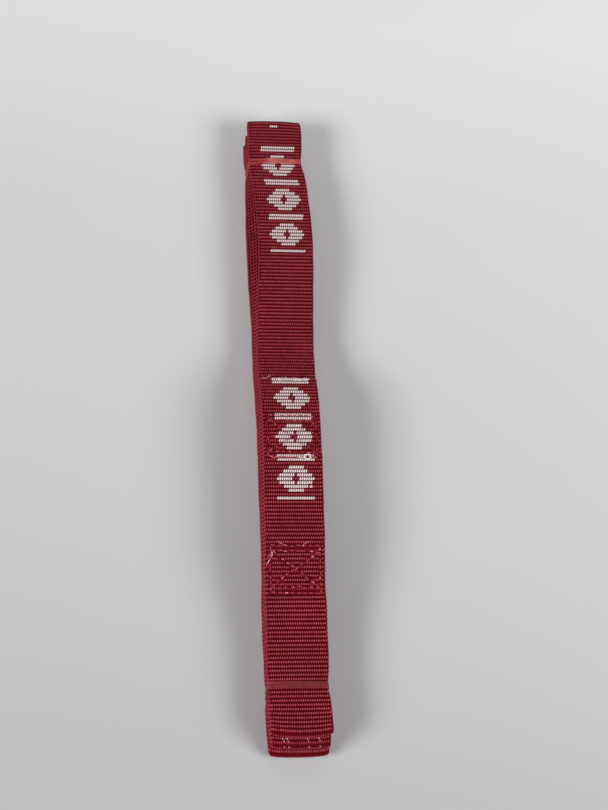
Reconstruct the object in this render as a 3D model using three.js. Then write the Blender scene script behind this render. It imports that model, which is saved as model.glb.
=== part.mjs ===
// A strap of ribbed webbing, folded to and fro into a flat bundle and held by two rubber bands.
// Units are millimetres. +Y runs along the bundle towards its north end, +X is to the right, +Z is up.
// The origin is on the ground under the middle of the bundle.
import * as THREE from 'three';

// Webbing.
const WEB_WIDTH = 25.4;
const WEB_THICK = 1.5;
const EDGE_CHAMFER = 0.35;
const CLEARANCE = 0.3;
const LAYER_PITCH = WEB_THICK + CLEARANCE;
const RUNS = 5;

// Bundle. A place along the bundle is its distance u from the north end.
const LENGTH = 323;
const NORTH_TIPS = [0, 4.4, 7.6];
const SOUTH_TIPS = [318, 320.6, LENGTH];
const TOP_TAIL_END = 151;
const BOTTOM_TAIL_END = 182;
const GRID = 6;
const FOLD_STEPS = 8;

// Rubber bands: one loop each, wound twice round the bundle.
const UPPER_BAND_AT = 24.7;
const LOWER_BAND_AT = 296;
const BAND_WIDTH = 1.6;
const BAND_THICK = 0.8;
const BAND_CORNER = 1.5;
const STRAND_SPACING = 1.9;
const CROSSING_LIFT = 0.95;

// The folded ends lift about a crease just outside each band.
const NORTH_CREASE = 21.5;
const SOUTH_CREASE = 300.2;

// Box-and-cross seams: length, width, thread, and how far each one lies from its eye's fold.
const SEAM_LENGTH = 22;
const SEAM_WIDTH = 22.5;
const THREAD_WIDTH = 1.1;
const THREAD_THICK = 0.3;
const EYE_SEAM_FROM_FOLD = 61;
const TAIL_SEAM_FROM_FOLD = 124;

// Each table lists the places where a height or a shift levels out, as [u, value].
// The underside clears the ground by a band's thickness at the bands, and by a thread at the seams.
const BAND_ROOM = BAND_THICK + CLEARANCE;
const SEAM_ROOM = THREAD_THICK + CLEARANCE;
const UNDERSIDE = [[32, BAND_ROOM], [60, SEAM_ROOM], [165, SEAM_ROOM], [195, 0], [275, 0], [288, BAND_ROOM]];
// The lowest run lies on the bottom tail, then drops to the ground past the tail's end.
const LOWEST_RUN = [[184, LAYER_PITCH], [226, 0]];
// How far the top run rides above a stack that is pressed flat.
const LOOSENESS = [[0, 0.4], [75, 2.6], [125, 0.2], [178, 8.6], [225, 9.6], [296, 0.7], [LENGTH, 0.4]];
// How far the top run lies to the right of the lowest run.
const STAGGER = [[28, 0], [85, 4], [130, 2.4], [200, 0]];

const webbing = new THREE.MeshStandardMaterial({ color: 0x9c1f2e, roughness: 0.8, metalness: 0 });
const thread = new THREE.MeshStandardMaterial({ color: 0xb4485a, roughness: 0.7, metalness: 0 });
const rubber = new THREE.MeshStandardMaterial({ color: 0xd9603a, roughness: 0.45, metalness: 0 });

const yOf = (u) => LENGTH / 2 - u;

// A curve that is level at each listed place and eases between them.
function through(table, u) {
  const next = table.findIndex(([place]) => place >= u);
  if (next < 0) return table[table.length - 1][1];
  if (next === 0) return table[0][1];
  const [from, low] = table[next - 1];
  const [to, high] = table[next];
  return low + (high - low) * THREE.MathUtils.smoothstep(u, from, to);
}

// The same curve in straight steps, so that every layer bends at the same places.
function inSteps(curve) {
  return (u) => {
    const from = Math.floor(u / GRID) * GRID;
    return THREE.MathUtils.lerp(curve(from), curve(from + GRID), (u - from) / GRID);
  };
}

// The webbing's layers. Each one gives its middle height and its sideways shift at a place u.
// Run 1 is the top run and run 5 the lowest; looseness and stagger are shared out between them.
function runLayer(number) {
  const share = (RUNS - number) / (RUNS - 1);
  const levelsUp = RUNS - number;
  return {
    height: inSteps((u) => {
      const stack = through(UNDERSIDE, u) + through(LOWEST_RUN, u) + levelsUp * LAYER_PITCH;
      return stack + share * through(LOOSENESS, u) + WEB_THICK / 2;
    }),
    shift: inSteps((u) => (share - 0.5) * through(STAGGER, u)),
  };
}

const runs = Array.from({ length: RUNS }, (_, i) => runLayer(i + 1));
const topTail = { height: (u) => runs[0].height(u) + LAYER_PITCH, shift: runs[0].shift };
const bottomTail = {
  height: inSteps((u) => through(UNDERSIDE, u) + WEB_THICK / 2),
  shift: runs[RUNS - 1].shift,
};

// The webbing's outline across its width: half-width and half-thickness with chamfered edges.
const OUTLINE = (() => {
  const w = WEB_WIDTH / 2;
  const h = WEB_THICK / 2;
  const c = EDGE_CHAMFER;
  return [[w, c - h], [w, h - c], [w - c, h], [c - w, h], [-w, h - c], [-w, c - h], [c - w, -h], [w - c, -h]];
})();

// A solid from a row of outlines, each an array of points: closed on itself, or capped at both ends.
function solidThrough(outlines, closed = false) {
  const sides = outlines[0].length;
  const spans = closed ? outlines.length : outlines.length - 1;
  const last = (outlines.length - 1) * sides;
  const index = [];
  for (let i = 0; i < spans; i += 1) {
    const here = i * sides;
    const next = ((i + 1) % outlines.length) * sides;
    for (let j = 0; j < sides; j += 1) {
      const k = (j + 1) % sides;
      index.push(here + j, next + j, next + k);
      index.push(here + j, next + k, here + k);
    }
  }
  if (!closed) {
    for (let j = 1; j < sides - 1; j += 1) {
      index.push(0, j, j + 1);
      index.push(last, last + j + 1, last + j);
    }
  }
  const points = outlines.flat();
  if (signedVolume(points, index) < 0) index.reverse();
  const geometry = new THREE.BufferGeometry().setFromPoints(points);
  geometry.setIndex(index);
  geometry.computeVertexNormals();
  return geometry;
}

function signedVolume(points, index) {
  let total = 0;
  for (let i = 0; i < index.length; i += 3) {
    const [a, b, c] = [0, 1, 2].map((k) => points[index[i + k]]);
    total += a.dot(new THREE.Vector3().crossVectors(b, c)) / 6;
  }
  return total;
}

// The webbing's outline at one place on its path, standing along the face normal (nu, nz).
function webOutline({ u, z, shift = 0, nu = 0, nz = 1 }) {
  return OUTLINE.map(([x, h]) => new THREE.Vector3(x + shift, yOf(u + nu * h), z + nz * h));
}

// Places from one end to the other, on a grid that all layers share.
function placesBetween(from, to) {
  const places = [from];
  for (let u = Math.ceil(from / GRID) * GRID; u < to; u += GRID) {
    if (u - from > 1 && to - u > 1) places.push(u);
  }
  places.push(to);
  return places;
}

function layerSolid(layer, from, to) {
  const place = (u) => ({ u, z: layer.height(u), shift: layer.shift(u) });
  return solidThrough(placesBetween(from, to).map((u) => webOutline(place(u))));
}

// A folded end: out along the upper layer, round half a circle, and back along the lower layer.
// outward is -1 at the north end and +1 at the south end.
function foldSolid(upper, lower, tip, crease, outward) {
  const start = crease + outward * CLEARANCE / 2;
  const radius = (upper.height(tip) - lower.height(tip)) / 2;
  const centre = tip - outward * (radius + WEB_THICK / 2);
  const middle = (upper.height(centre) + lower.height(centre)) / 2;
  const bend = (upper.height(centre) - lower.height(centre)) / 2;
  const half = (start + centre) / 2;
  const path = [start, half].map((u) => ({ u, z: upper.height(u) }));
  for (let i = 0; i <= FOLD_STEPS; i += 1) {
    const angle = Math.PI / 2 - (Math.PI * i) / FOLD_STEPS;
    const nu = outward * Math.cos(angle);
    const nz = Math.sin(angle);
    path.push({ u: centre + nu * bend, z: middle + nz * bend, nu, nz });
  }
  path.push(...[half, start].map((u) => ({ u, z: lower.height(u), nz: -1 })));
  return solidThrough(path.map(webOutline));
}

// The rubber band's path round the bundle, starting on the left side and going under the bottom.
// Each stop has its place, its outward normal, and side: 0 to 1 up the right side only.
function bandLap(bottom, top) {
  const half = WEB_WIDTH / 2 + CLEARANCE + BAND_THICK / 2;
  const [low, high] = [bottom + BAND_CORNER, top - BAND_CORNER];
  const inner = half - BAND_CORNER;
  const stops = [];
  const corner = (x, z, from) => {
    for (let i = 0; i <= 4; i += 1) {
      const a = from + (Math.PI / 8) * i;
      const [nx, nz] = [Math.cos(a), Math.sin(a)];
      stops.push({ x: x + BAND_CORNER * nx, z: z + BAND_CORNER * nz, nx, nz });
    }
  };
  stops.push({ x: -half, z: (low + high) / 2, nx: -1, nz: 0 });
  corner(-inner, low, Math.PI);
  stops.push({ x: 0, z: bottom, nx: 0, nz: -1 });
  corner(inner, low, Math.PI * 1.5);
  for (let i = 1; i < 8; i += 1) {
    stops.push({ x: half, z: low + (high - low) * (i / 8), nx: 1, nz: 0, side: i / 8 });
  }
  corner(inner, high, 0);
  stops.push({ x: 0, z: top, nx: 0, nz: 1 });
  corner(-inner, high, Math.PI / 2);
  return stops;
}

// Two laps lie side by side, and swap places up the right side, where the second rides outside.
function bandSolid(at, stackTop) {
  const bottom = BAND_THICK / 2;
  const top = stackTop + CLEARANCE + BAND_THICK / 2;
  const stops = bandLap(bottom, top);
  const firstRight = stops.findIndex((s) => s.side !== undefined);
  const lastRight = stops.findLastIndex((s) => s.side !== undefined);
  const outlines = [0, 1].flatMap((lap) => stops.map((s, i) => {
    const crossed = i > lastRight ? 1 : s.side ?? 0;
    const swap = 1 - 2 * THREE.MathUtils.smoothstep(crossed, 0, 1);
    const y = yOf(at) + (lap === 0 ? swap : -swap) * STRAND_SPACING / 2;
    const lift = lap === 0 ? 0 : CROSSING_LIFT * crossingLift(i, firstRight, lastRight);
    return bandOutline(s, y, lift);
  }));
  return solidThrough(outlines, true);
}

// 1 up the right side, easing to 0 over the corner below it and the corner above it.
function crossingLift(i, firstRight, lastRight) {
  const away = Math.max(firstRight - i, i - lastRight, 0);
  return 1 - THREE.MathUtils.smoothstep(away, 1, 5);
}

function bandOutline({ x, z, nx, nz }, y, lift) {
  const sections = [[-1, -1], [-1, 1], [1, 1], [1, -1]];
  return sections.map(([across, out]) => {
    const r = lift + (out * BAND_THICK) / 2;
    return new THREE.Vector3(x + nx * r, y + (across * BAND_WIDTH) / 2, z + nz * r);
  });
}

// A seam's thread: a flat frame with a cross in it.
function seamSolid() {
  const [a, b] = [SEAM_WIDTH / 2, SEAM_LENGTH / 2];
  const diagonal = Math.hypot(a, b);
  const [insideX, insideY] = [a - THREAD_WIDTH, b - THREAD_WIDTH];
  // Half the width of the crossing threads, measured along each side of the frame.
  const [alongX, alongY] = [(THREAD_WIDTH * diagonal) / b / 2, (THREAD_WIDTH * diagonal) / a / 2];
  const [cornerX, cornerY] = [insideX - alongX, insideY - alongY];
  const frame = polygon(THREE.Shape, [[-a, -b], [a, -b], [a, b], [-a, b]]);
  frame.holes = [
    [[-cornerX, -insideY], [0, -alongY], [cornerX, -insideY]],
    [[cornerX, insideY], [0, alongY], [-cornerX, insideY]],
    [[insideX, -cornerY], [alongX, 0], [insideX, cornerY]],
    [[-insideX, cornerY], [-alongX, 0], [-insideX, -cornerY]],
  ].map((corners) => polygon(THREE.Path, corners));
  const solid = new THREE.ExtrudeGeometry(frame, { depth: THREAD_THICK, bevelEnabled: false });
  return solid.translate(0, 0, -THREAD_THICK / 2);
}

function polygon(Kind, corners) {
  return new Kind(corners.map(([x, y]) => new THREE.Vector2(x, y)));
}

// Lays a seam on a layer, tilted to its slope and clear of its bulge.
// face is +1 for the layer's upper face and -1 for its underside.
function addSeam(name, layer, from, face) {
  const to = from + SEAM_LENGTH;
  const middle = (from + to) / 2;
  const [first, last] = [layer.height(from), layer.height(to)];
  const bulge = Math.max(0, face * (layer.height(middle) - (first + last) / 2));
  const mesh = add(name, seamSolid(), thread);
  const away = WEB_THICK / 2 + CLEARANCE + bulge + THREAD_THICK / 2;
  mesh.position.set(layer.shift(middle), yOf(middle), (first + last) / 2 + face * away);
  mesh.rotation.x = Math.atan2(first - last, SEAM_LENGTH);
}

const group = new THREE.Group();

function add(name, geometry, material) {
  const mesh = new THREE.Mesh(geometry, material);
  mesh.name = name;
  group.add(mesh);
  return mesh;
}

const north = NORTH_CREASE + CLEARANCE / 2;
const south = SOUTH_CREASE - CLEARANCE / 2;

add('top_tail', layerSolid(topTail, TOP_TAIL_END, south), webbing);
runs.forEach((run, i) => add(`strap_run_${i + 1}`, layerSolid(run, north, south), webbing));
add('bottom_tail', layerSolid(bottomTail, north, BOTTOM_TAIL_END), webbing);

add('north_fold_1', foldSolid(runs[0], runs[1], NORTH_TIPS[0], NORTH_CREASE, -1), webbing);
add('north_fold_2', foldSolid(runs[2], runs[3], NORTH_TIPS[1], NORTH_CREASE, -1), webbing);
add('north_eye_fold', foldSolid(runs[4], bottomTail, NORTH_TIPS[2], NORTH_CREASE, -1), webbing);
add('south_eye_fold', foldSolid(topTail, runs[0], SOUTH_TIPS[0], SOUTH_CREASE, 1), webbing);
add('south_fold_2', foldSolid(runs[1], runs[2], SOUTH_TIPS[1], SOUTH_CREASE, 1), webbing);
add('south_fold_3', foldSolid(runs[3], runs[4], SOUTH_TIPS[2], SOUTH_CREASE, 1), webbing);

const faceOf = (layer, u) => layer.height(u) + WEB_THICK / 2;
add('upper_rubber_band', bandSolid(UPPER_BAND_AT, faceOf(runs[0], UPPER_BAND_AT)), rubber);
add('lower_rubber_band', bandSolid(LOWER_BAND_AT, faceOf(topTail, LOWER_BAND_AT)), rubber);

const topFold = SOUTH_TIPS[0];
const bottomFold = NORTH_TIPS[2];
addSeam('top_eye_seam', topTail, topFold - EYE_SEAM_FROM_FOLD - SEAM_LENGTH, 1);
addSeam('top_tail_seam', topTail, topFold - TAIL_SEAM_FROM_FOLD - SEAM_LENGTH, 1);
addSeam('bottom_eye_seam', bottomTail, bottomFold + EYE_SEAM_FROM_FOLD, -1);
addSeam('bottom_tail_seam', bottomTail, bottomFold + TAIL_SEAM_FROM_FOLD, -1);

export default group;
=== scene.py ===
"""A strap of ribbed webbing folded into a flat bundle and held by two rubber bands.

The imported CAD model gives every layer's place. This script dresses it: woven webbing with a generic
white pattern, sewn seams, frayed cut ends and rubber bands. Lengths are in millimetres until a mesh
is made. +Y runs along the bundle to its north end and +Z is up.
"""
import math

import bpy
import numpy as np
from mathutils import Euler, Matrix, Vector


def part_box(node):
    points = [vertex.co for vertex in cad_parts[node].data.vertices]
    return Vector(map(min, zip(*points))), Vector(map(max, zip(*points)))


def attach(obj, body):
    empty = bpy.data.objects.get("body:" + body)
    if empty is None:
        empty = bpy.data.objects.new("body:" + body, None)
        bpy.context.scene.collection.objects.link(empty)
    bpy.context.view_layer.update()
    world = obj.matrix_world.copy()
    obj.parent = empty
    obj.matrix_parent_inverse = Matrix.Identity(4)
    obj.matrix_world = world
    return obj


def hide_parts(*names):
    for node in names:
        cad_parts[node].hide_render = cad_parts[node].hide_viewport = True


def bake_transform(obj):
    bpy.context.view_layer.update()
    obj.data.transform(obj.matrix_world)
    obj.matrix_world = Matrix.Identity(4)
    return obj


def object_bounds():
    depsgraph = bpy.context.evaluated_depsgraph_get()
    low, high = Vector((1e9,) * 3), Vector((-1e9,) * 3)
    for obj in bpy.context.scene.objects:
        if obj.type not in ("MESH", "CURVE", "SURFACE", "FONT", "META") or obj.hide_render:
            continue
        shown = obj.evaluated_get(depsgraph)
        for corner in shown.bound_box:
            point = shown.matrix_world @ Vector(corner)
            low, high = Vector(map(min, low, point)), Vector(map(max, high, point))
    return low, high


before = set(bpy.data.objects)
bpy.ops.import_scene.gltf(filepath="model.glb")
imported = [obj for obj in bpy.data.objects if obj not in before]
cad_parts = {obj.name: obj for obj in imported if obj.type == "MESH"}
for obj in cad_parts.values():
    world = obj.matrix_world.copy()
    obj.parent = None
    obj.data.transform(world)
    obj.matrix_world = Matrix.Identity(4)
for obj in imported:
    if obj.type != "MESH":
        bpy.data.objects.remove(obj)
cad_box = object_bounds()

MM = 0.001

# Webbing: ribs run across it and warp yarns along it. A higher sharpness makes a narrower crown.
WIDTH = 25.4
EDGE_RADIUS = 0.62
FACE_HALF = WIDTH / 2 - EDGE_RADIUS
CORE_HALF = 0.46
YARNS = 25
YARN_PITCH = 2 * FACE_HALF / YARNS
YARN_HEIGHT = 0.24
YARN_SHARPNESS = 1.3
YARN_SLANT = 0.42
YARN_JITTER = 0.25
RIB_PITCH = 1.88
RIB_HEIGHT = 0.34
RIB_SHARPNESS = 0.85
BACK_SHARE = 0.9
WHITE_HEIGHT = 0.06
WHITE_FILL = 0.12
EDGE_SWELL = 0.16
EDGE_SCALLOP = 0.30
WEFT_SKEW = 0.03
GROUND_GAP = 0.02

# Slow sideways wobbles along a layer: (size, radians per millimetre).
WOBBLES = ((0.05, 0.37), (0.04, 0.11))

# Sides of the webbing, and how many points its section has round each edge and across its back.
FACE, EDGE, BACK = range(3)
EDGE_POINTS = 7
BACK_POINTS = 11

# How the rubber bands squeeze the webbing. Reaches are along the bundle; on the webbing's edges the
# strands lie a little further south.
BAND_PINCH = 0.035
BAND_PINCH_REACH = 4.0
BAND_PRESS = 0.6
FACE_PRESS_REACH = 1.5
EDGE_PRESS_REACH = 4.0
EDGE_PRESS_SHIFT = 1.5

# How a seam's thread presses the face beside it, and how much painted shade darkens the pressed face.
SEAM_PRESS_REACH = 0.6
SEAM_PRESS = 0.08
SEAM_FLATTENING = 0.45
SEAM_PAINTED_SHADE = 0.30

# How far the layers wander sideways: (distance from the north end, top run's shift, lowest run's).
SWAY = (
    (0, -0.6, -1.2), (8, -0.3, -2.0), (16, -0.6, -2.1), (24.7, -1.1, -1.7), (33, 0.1, -1.7),
    (41, 0.8, -1.6), (61, 0.9, -0.8), (75, 0.4, 0.1), (90, -0.1, 0.3), (115, -0.4, 0.6),
    (134, -0.9, 0.3), (150, -1.0, 0.5), (170, -0.3, 0.6), (195, 0.3, -0.1), (215, -0.1, 0.2),
    (240, -0.4, 0.2), (250, -0.7, -0.2), (262, -0.2, -0.4), (288, -0.1, -0.2), (296, -0.6, -0.3),
    (302, 0.2, -0.4), (312, 0.5, -0.1), (323, 0.7, -0.2),
)

# White pattern of bars with hollow stepped diamonds between them, in rows of ribs and columns of
# yarns. Each row of the repeat is white from its hollow half-width to its outer one.
PATTERN_ROWS = 34
PATTERN_SHIFT = 1
PATTERN_OUTER = np.array([8, 8, -1, 3, 5, 7, 8, 7, 5, 3, -1])
PATTERN_HOLLOW = np.array([0, 0, 0, 0, 0, 1, 2, 1, 0, 0, 0])

# Layers' routes and folded ends.
ROUTE_STEP = 0.25
FOLD_POINTS = 22
CORNER_REACH = 16.0

# Stitching. Each kind of row lies proud of the weave or sunk into it.
STITCH_LENGTH = 2.7
STITCH_GAP = 0.9
STITCH_POINTS = 7
STITCH_DRIFT = 0.2
SEAM_INSET = 0.6
END_ROW_GAP = 2.4
END_ROW_PROUD, INNER_ROW_PROUD, SIDE_PROUD, CROSS_PROUD = 0.12, 0.06, -0.14, -0.10
TAIL_SEAM_SUNK = 0.16
THREAD_RADIUS = 0.28
THREAD_SINK = 0.45

# Loose fibres and thread ends.
FIBRE_RADIUS = 0.075
PATTERN_FIBRE_RADIUS = 0.09
RED_END_RADIUS = 0.14
WHITE_END_RADIUS = 0.16
FIBRE_CURL = 0.28
FIBRE_POINTS = 7
SHORTEST_FIBRE = 0.5
THREAD_ABOVE = 0.3

# Rubber bands. The strands start to part STRAND_LEAD before the left side.
STRAND_WIDTH = 1.5
STRAND_THICK = 0.40
STRAND_SQUARENESS = 0.62
STRAND_POINTS = 14
STRAND_APART = 1.50
STRAND_LEAD = 9.0
CROSSING_LIFT = STRAND_THICK * 1.02
BAND_CORNER = 0.9
BAND_STEP = 0.5

rng = np.random.default_rng(7)


# ---------------------------------------------------------------------------------------------
# Places read from the frame
# ---------------------------------------------------------------------------------------------

# A CAD strip has at least this many corners in each upright section.
SECTION_CORNERS = 8


def box_mm(node):
    low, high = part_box(node)
    return np.array(low) / MM, np.array(high) / MM


def middle_y(node):
    low, high = box_mm(node)
    return (low[1] + high[1]) / 2


def cross_sections(node):
    """The upright sections of a CAD strip: for each y, its distinct (x, z) corners."""
    points = np.round(np.array([v.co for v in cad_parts[node].data.vertices]) / MM, 3)
    sections = {}
    for y in np.unique(points[:, 1]):
        corners = np.unique(points[points[:, 1] == y][:, [0, 2]], axis=0)
        if len(corners) >= SECTION_CORNERS:
            sections[float(y)] = corners
    return sections


def middle_line(node):
    """A run's or tail's middle line as rows of (y, x, z)."""
    rows = []
    for y, corners in cross_sections(node).items():
        x, z = (corners.min(axis=0) + corners.max(axis=0)) / 2
        rows.append((y, x, z))
    return rows


def fold_lines(node):
    """A folded end's upper and lower middle lines as rows of (y, x, z)."""
    upper, lower = [], []
    for y, corners in cross_sections(node).items():
        if len(corners) < 2 * SECTION_CORNERS:
            continue
        split = (corners[:, 1].min() + corners[:, 1].max()) / 2
        for side, rows in ((corners[:, 1] > split, upper), (corners[:, 1] < split, lower)):
            part = corners[side]
            x, z = (part.min(axis=0) + part.max(axis=0)) / 2
            rows.append((y, x, z))
    return upper, lower


class Line:
    """A layer's middle line: x and z as smooth functions of y.

    level is 1 for the top run and 0 for the lowest.
    """

    SPACING = 0.5
    SOFTNESS = 3.0

    def __init__(self, level, *parts):
        rows = np.array(sorted(sum(parts, [])))
        self.y = np.arange(rows[0, 0], rows[-1, 0] + self.SPACING / 2, self.SPACING)
        place, top_shift, low_shift = np.array(SWAY).T
        shift = level * top_shift + (1 - level) * low_shift
        sway = np.interp(NORTH - self.y, place, shift)
        self.x = self.softened(np.interp(self.y, rows[:, 0], rows[:, 1]) + sway)
        self.z = self.softened(np.interp(self.y, rows[:, 0], rows[:, 2]))

    def softened(self, values):
        reach = int(3 * self.SOFTNESS / self.SPACING)
        at = np.arange(-reach, reach + 1) * self.SPACING
        weights = np.exp(-0.5 * (at / self.SOFTNESS) ** 2)
        weights /= weights.sum()
        before = 2 * values[0] - values[reach:0:-1]
        after = 2 * values[-1] - values[-2:-reach - 2:-1]
        return np.convolve(np.concatenate([before, values, after]), weights, mode="valid")

    def at(self, y):
        return np.interp(y, self.y, self.x), np.interp(y, self.y, self.z)


NORTH, SOUTH = cad_box[1][1] / MM, cad_box[0][1] / MM
NORTH_FOLDS = ("north_fold_1", "north_fold_2", "north_eye_fold")
SOUTH_FOLDS = ("south_eye_fold", "south_fold_2", "south_fold_3")
north_1, north_2, north_eye = (fold_lines(n) for n in NORTH_FOLDS)
south_eye, south_2, south_3 = (fold_lines(n) for n in SOUTH_FOLDS)

top_tail = Line(1.0, middle_line("top_tail"), south_eye[0])
run_1 = Line(1.0, north_1[0], middle_line("strap_run_1"), south_eye[1])
run_2 = Line(0.75, north_1[1], middle_line("strap_run_2"), south_2[0])
run_3 = Line(0.5, north_2[0], middle_line("strap_run_3"), south_2[1])
run_4 = Line(0.25, north_2[1], middle_line("strap_run_4"), south_3[0])
run_5 = Line(0.0, north_eye[0], middle_line("strap_run_5"), south_3[1])
bottom_tail = Line(0.0, north_eye[1], middle_line("bottom_tail"))

TOP_TAIL_END = box_mm("top_tail")[1][1]
BOTTOM_TAIL_END = box_mm("bottom_tail")[0][1]
UPPER_BAND = middle_y("upper_rubber_band")
LOWER_BAND = middle_y("lower_rubber_band")


# ---------------------------------------------------------------------------------------------
# Meshes
# ---------------------------------------------------------------------------------------------

def make_mesh(name, points, quads, triangles, material):
    """A smooth-shaded object from points in millimetres, quads and triangles."""
    quads = np.asarray(quads, dtype=np.int32).reshape(-1, 4)
    triangles = np.asarray(triangles, dtype=np.int32).reshape(-1, 3)
    mesh = bpy.data.meshes.new(name)
    mesh.vertices.add(len(points))
    mesh.vertices.foreach_set("co", (np.asarray(points) * MM).astype(np.float32).ravel())
    corners = np.concatenate([quads.ravel(), triangles.ravel()])
    mesh.loops.add(len(corners))
    mesh.loops.foreach_set("vertex_index", corners)
    starts = np.concatenate([
        np.arange(len(quads)) * 4,
        len(quads) * 4 + np.arange(len(triangles)) * 3,
    ]).astype(np.int32)
    mesh.polygons.add(len(starts))
    mesh.polygons.foreach_set("loop_start", starts)
    mesh.update(calc_edges=True)
    mesh.validate()
    mesh.shade_smooth()
    mesh.materials.append(material)
    piece = bpy.data.objects.new(name, mesh)
    bpy.context.scene.collection.objects.link(piece)
    return piece


def add_attribute(piece, name, domain, values):
    attribute = piece.data.attributes.new(name, "FLOAT", domain)
    attribute.data.foreach_set("value", np.asarray(values, dtype=np.float32).ravel())


def ring_faces(rings, sides, closed=False):
    """Quads between rings of points that are stored one after another."""
    spans = rings if closed else rings - 1
    i, j = np.meshgrid(np.arange(spans), np.arange(sides), indexing="ij")
    here, then = i * sides, ((i + 1) % rings) * sides
    after = (j + 1) % sides
    quads = np.stack([here + j, here + after, then + after, then + j], axis=-1)
    return quads.reshape(-1, 4)


def closed_faces(rings, sides):
    """Quads between rings, and triangles from each end ring to its middle point, stored last."""
    j = np.arange(sides)
    k = (j + 1) % sides
    first, tail = rings * sides, (rings - 1) * sides
    caps = np.concatenate([
        np.stack([np.full(sides, first), k, j], axis=1),
        np.stack([np.full(sides, first + 1), tail + j, tail + k], axis=1),
    ])
    return ring_faces(rings, sides), caps


def tube(path, radius, sides):
    """Points, quads and triangles of a round tube with closed ends."""
    path = np.asarray(path, dtype=float)
    along = np.gradient(path, axis=0)
    along /= np.linalg.norm(along, axis=1, keepdims=True)
    mostly_level = abs(along[:, 2]).mean() < 0.8
    guide = np.array([0.0, 0.0, 1.0] if mostly_level else [1.0, 0.0, 0.0])
    side = np.cross(along, guide)
    side /= np.linalg.norm(side, axis=1, keepdims=True)
    other = np.cross(side, along)
    turn = np.linspace(0, 2 * math.pi, sides, endpoint=False)[None, :, None]
    ring = np.cos(turn) * side[:, None] + np.sin(turn) * other[:, None]
    points = (path[:, None] + ring * radius).reshape(-1, 3)
    return np.concatenate([points, path[[0, -1]]]), *closed_faces(len(path), sides)


def tubes(name, paths, radius, material, sides):
    """One object made of many small tubes."""
    points, quads, triangles, count = [], [], [], 0
    for path in paths:
        p, q, t = tube(path, radius, sides)
        points.append(p)
        quads.append(q + count)
        triangles.append(t + count)
        count += len(p)
    return make_mesh(name, *(np.concatenate(part) for part in (points, quads, triangles)), material)


# ---------------------------------------------------------------------------------------------
# Materials
# ---------------------------------------------------------------------------------------------

class Nodes:
    """A small helper that builds a material's node tree."""

    def __init__(self, name):
        self.material = bpy.data.materials.new(name)
        self.material.use_nodes = True
        self.tree = self.material.node_tree
        self.shader = self.tree.nodes["Principled BSDF"]

    def add(self, kind, settings=None, **inputs):
        node = self.tree.nodes.new(kind)
        for key, value in (settings or {}).items():
            setattr(node, key, value)
        for key, value in inputs.items():
            self.put(node.inputs[key.replace("_", " ")], value)
        return node

    def put(self, socket, value):
        if isinstance(value, bpy.types.NodeSocket):
            self.tree.links.new(value, socket)
        else:
            socket.default_value = value

    def attribute(self, name):
        return self.add("ShaderNodeAttribute", {"attribute_name": name}).outputs["Fac"]

    def maths(self, operation, a, b=0.0):
        node = self.add("ShaderNodeMath", {"operation": operation})
        self.put(node.inputs[0], a)
        self.put(node.inputs[1], b)
        return node.outputs[0]

    def remap(self, value, low, high, to_low=0.0, to_high=1.0):
        node = self.add("ShaderNodeMapRange", {"interpolation_type": "SMOOTHSTEP"})
        for index, entry in enumerate((value, low, high, to_low, to_high)):
            self.put(node.inputs[index], entry)
        return node.outputs[0]

    def mix(self, factor, a, b):
        node = self.add("ShaderNodeMix", {"data_type": "RGBA"})
        self.put(node.inputs[0], factor)
        self.put(node.inputs[6], a)
        self.put(node.inputs[7], b)
        return node.outputs[2]

    def scaled(self, colour, factor):
        node = self.add("ShaderNodeVectorMath", {"operation": "SCALE"}, Vector=colour, Scale=factor)
        return node.outputs[0]

    def vector(self, x, y):
        node = self.add("ShaderNodeCombineXYZ")
        self.put(node.inputs[0], x)
        self.put(node.inputs[1], y)
        return node.outputs[0]

    def noise(self, vector, scale, detail):
        node = self.add("ShaderNodeTexNoise", Scale=scale, Detail=detail)
        self.put(node.inputs["Vector"], vector)
        return node.outputs["Fac"]

    def bump(self, height, distance, strength):
        node = self.add("ShaderNodeBump", Height=height, Distance=distance, Strength=strength)
        return node.outputs["Normal"]


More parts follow.
